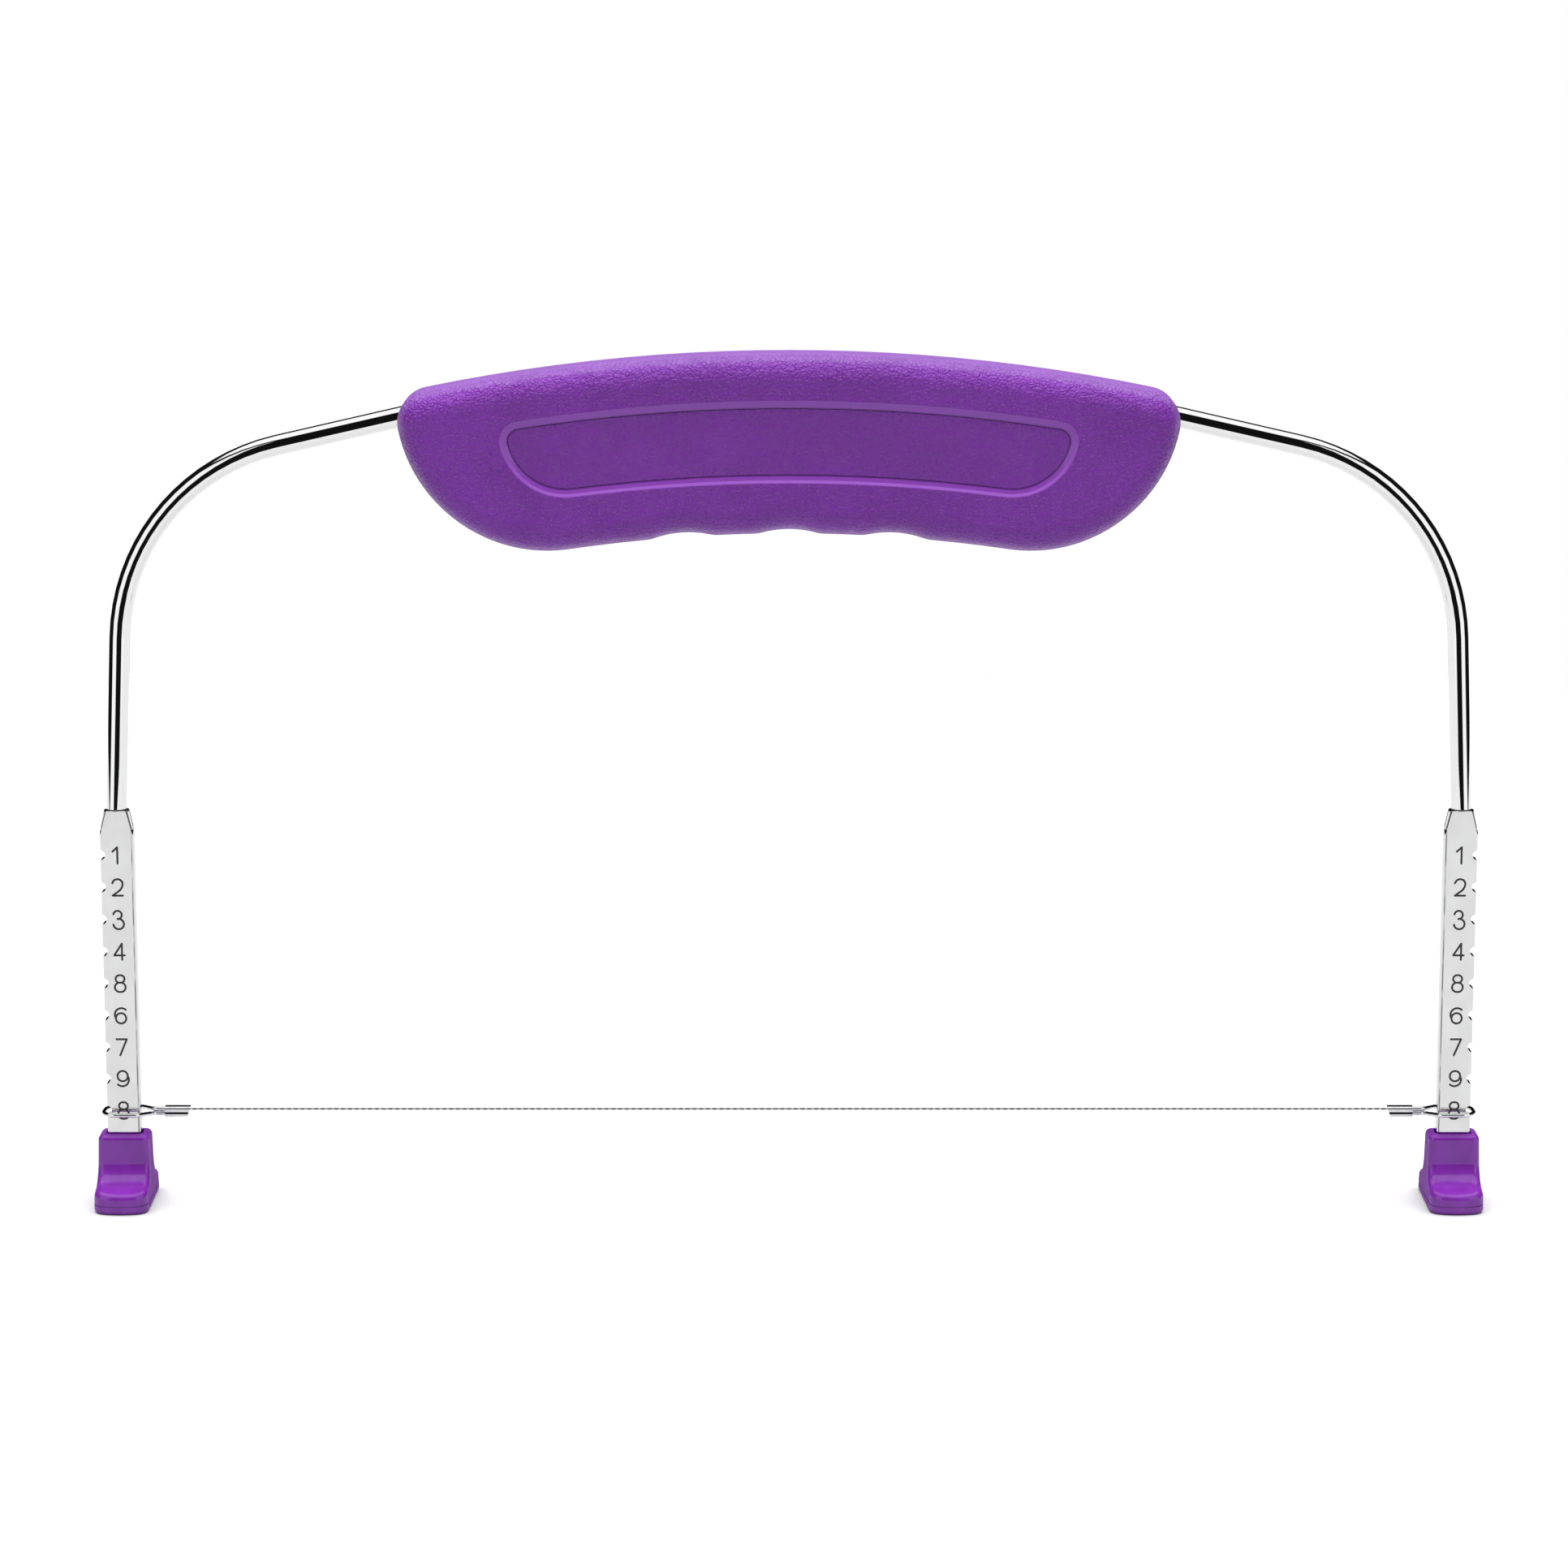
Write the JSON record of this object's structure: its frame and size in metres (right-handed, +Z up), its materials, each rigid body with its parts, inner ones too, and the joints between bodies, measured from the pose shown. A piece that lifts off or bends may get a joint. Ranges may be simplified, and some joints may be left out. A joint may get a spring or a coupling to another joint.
{
  "type": "cake leveler",
  "caption": "Adjustable cake leveler: an arched steel frame on two push-on feet, a hollow grip over the arch and a cutting wire hooked between two notched legs.",
  "frame": {"origin": "midway between the two legs, on the plane of the soles", "axes": "+X from the left leg to the right leg as seen from the front, +Y away from the front, +Z up from the soles to the grip"},
  "size_m": [0.2762, 0.022, 0.1705],
  "materials": {
    "frame_plating": "polished nickel-chrome plating",
    "bar_steel": "satin plating",
    "grip_plastic": "satin purple with a fine grain",
    "panel_plastic": "satin purple with a fine grain",
    "foot_plastic": "smooth purple",
    "screw_steel": "zinc plated",
    "wire_steel": "bright stainless steel wire",
    "ferrule_metal": "bright crimped metal"
  },
  "bodies": {
    "frame": {"frame_rod": "frame_plating", "leg_bar_left": "bar_steel", "leg_bar_right": "bar_steel", "handle_front_shell": "grip_plastic", "handle_rear_shell": "grip_plastic", "handle_panel": "panel_plastic", "handle_screw_left": "screw_steel", "handle_screw_middle": "screw_steel", "handle_screw_right": "screw_steel", "foot_left": "foot_plastic", "foot_right": "foot_plastic"},
    "wire": {"cutting_wire": "wire_steel", "wire_loop_left": "wire_steel", "wire_loop_right": "wire_steel", "wire_ferrule_left": "ferrule_metal", "wire_ferrule_right": "ferrule_metal"}
  },
  "joints": [
    {"name": "wire_height", "type": "slide", "parent": "frame", "child": "wire", "axis": [0, 0, 1], "range_m": [0, 0.052]}
  ]
}
